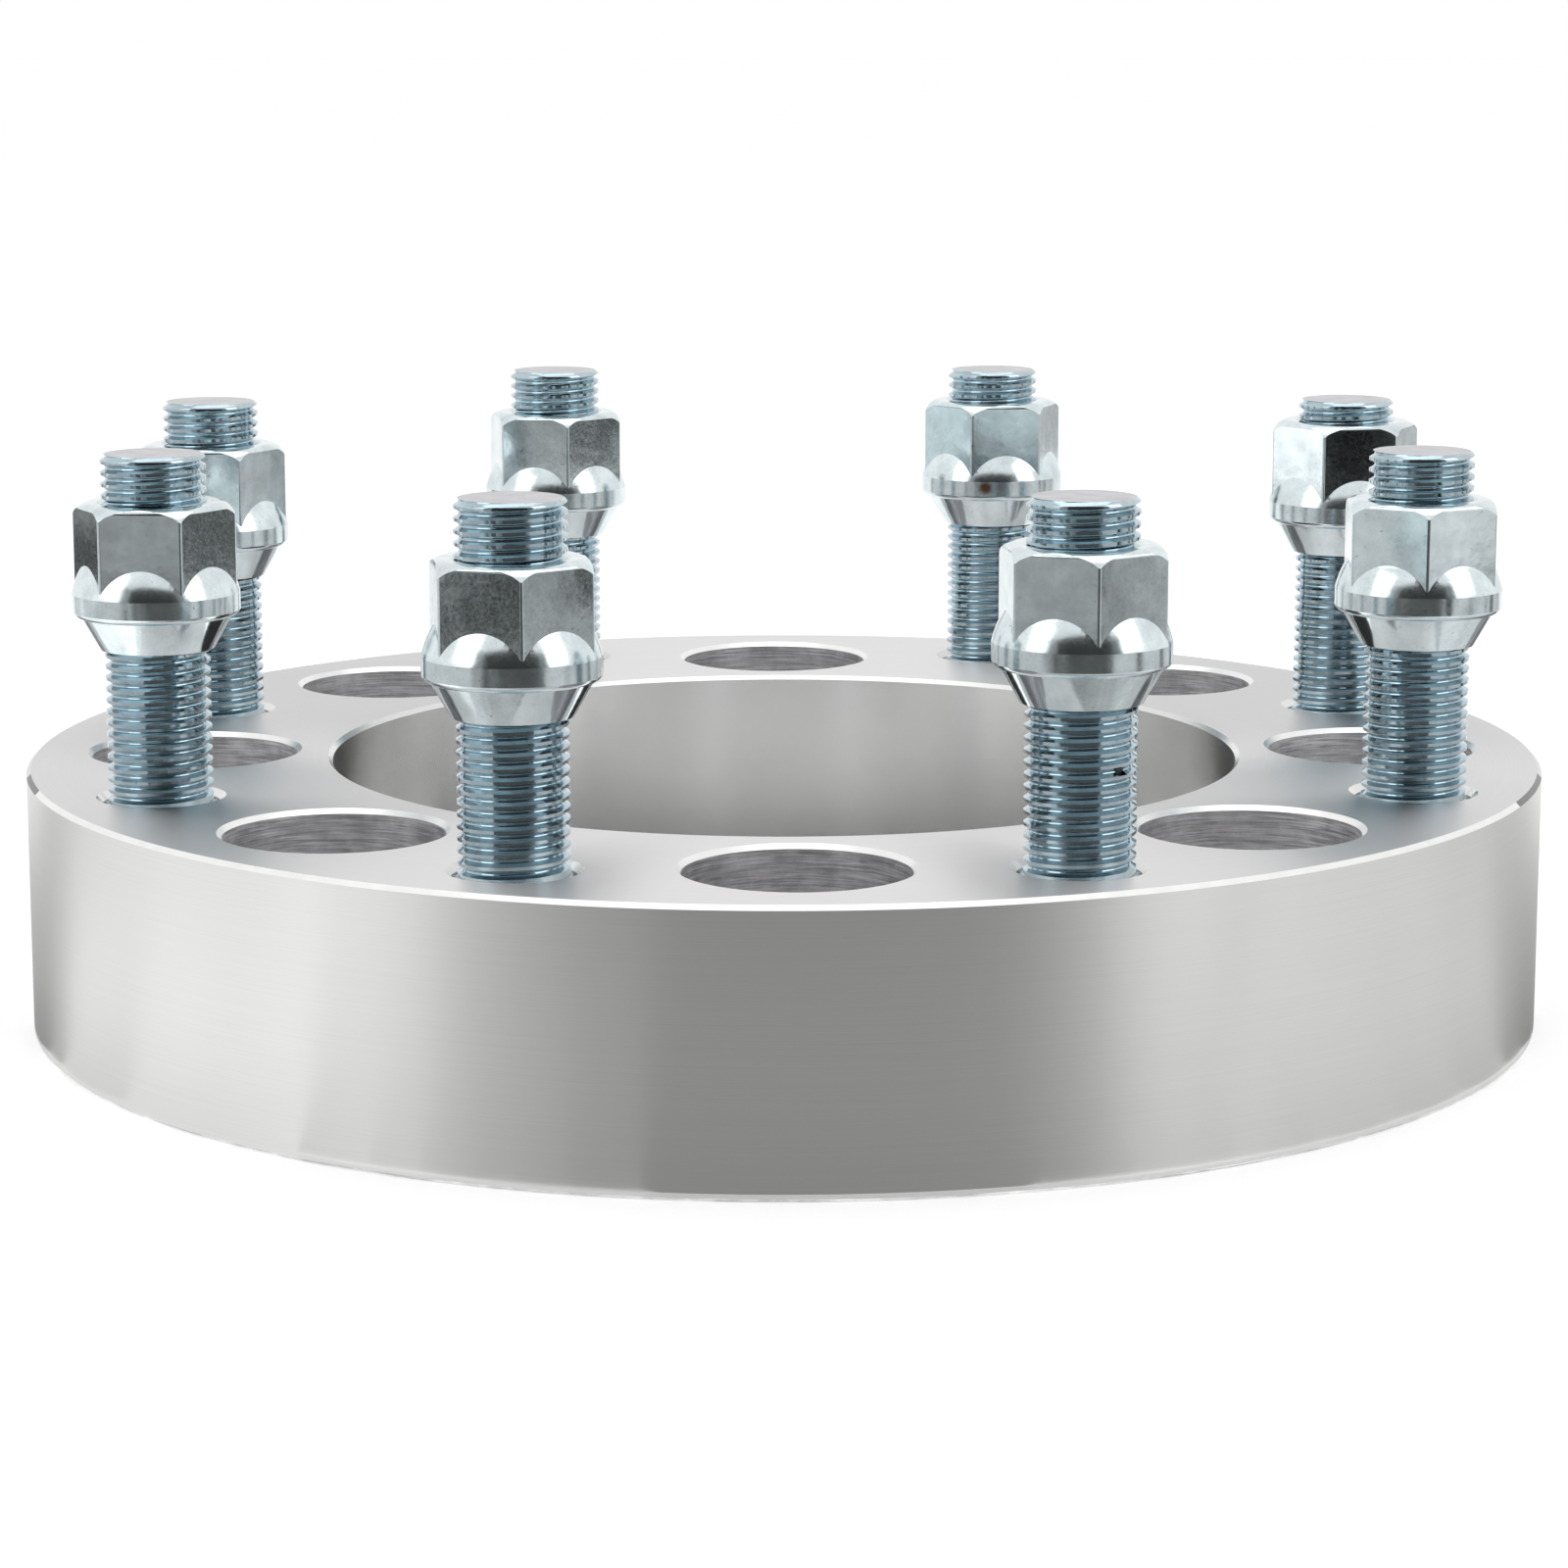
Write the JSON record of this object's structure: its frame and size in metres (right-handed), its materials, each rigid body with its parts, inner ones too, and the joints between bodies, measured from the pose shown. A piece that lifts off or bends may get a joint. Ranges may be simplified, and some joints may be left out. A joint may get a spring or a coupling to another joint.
{
  "type": "wheel spacer",
  "caption": "Thick machined aluminium ring that bolts to a wheel hub through deep pockets and carries its own pressed studs and lug nuts for the wheel.",
  "frame": {"origin": "centre of the hub face, on the bore's axis", "axes": "+Z out of the wheel face along the bore's axis, +X through the middle of a lug pocket"},
  "size_m": [0.21, 0.21, 0.0815],
  "materials": {
    "ring_aluminium": "fine turned satin",
    "stud_zinc": "bright blue zinc plating",
    "nut_zinc": "bright zinc plating over forged steel"
  },
  "bodies": {
    "root": {"spacer_ring": "ring_aluminium", "stud_1": "stud_zinc", "stud_2": "stud_zinc", "stud_3": "stud_zinc", "stud_4": "stud_zinc", "stud_5": "stud_zinc", "stud_6": "stud_zinc", "stud_7": "stud_zinc", "stud_8": "stud_zinc", "lug_nut_1": "nut_zinc", "lug_nut_2": "nut_zinc", "lug_nut_3": "nut_zinc", "lug_nut_4": "nut_zinc", "lug_nut_5": "nut_zinc", "lug_nut_6": "nut_zinc", "lug_nut_7": "nut_zinc", "lug_nut_8": "nut_zinc"}
  },
  "joints": []
}
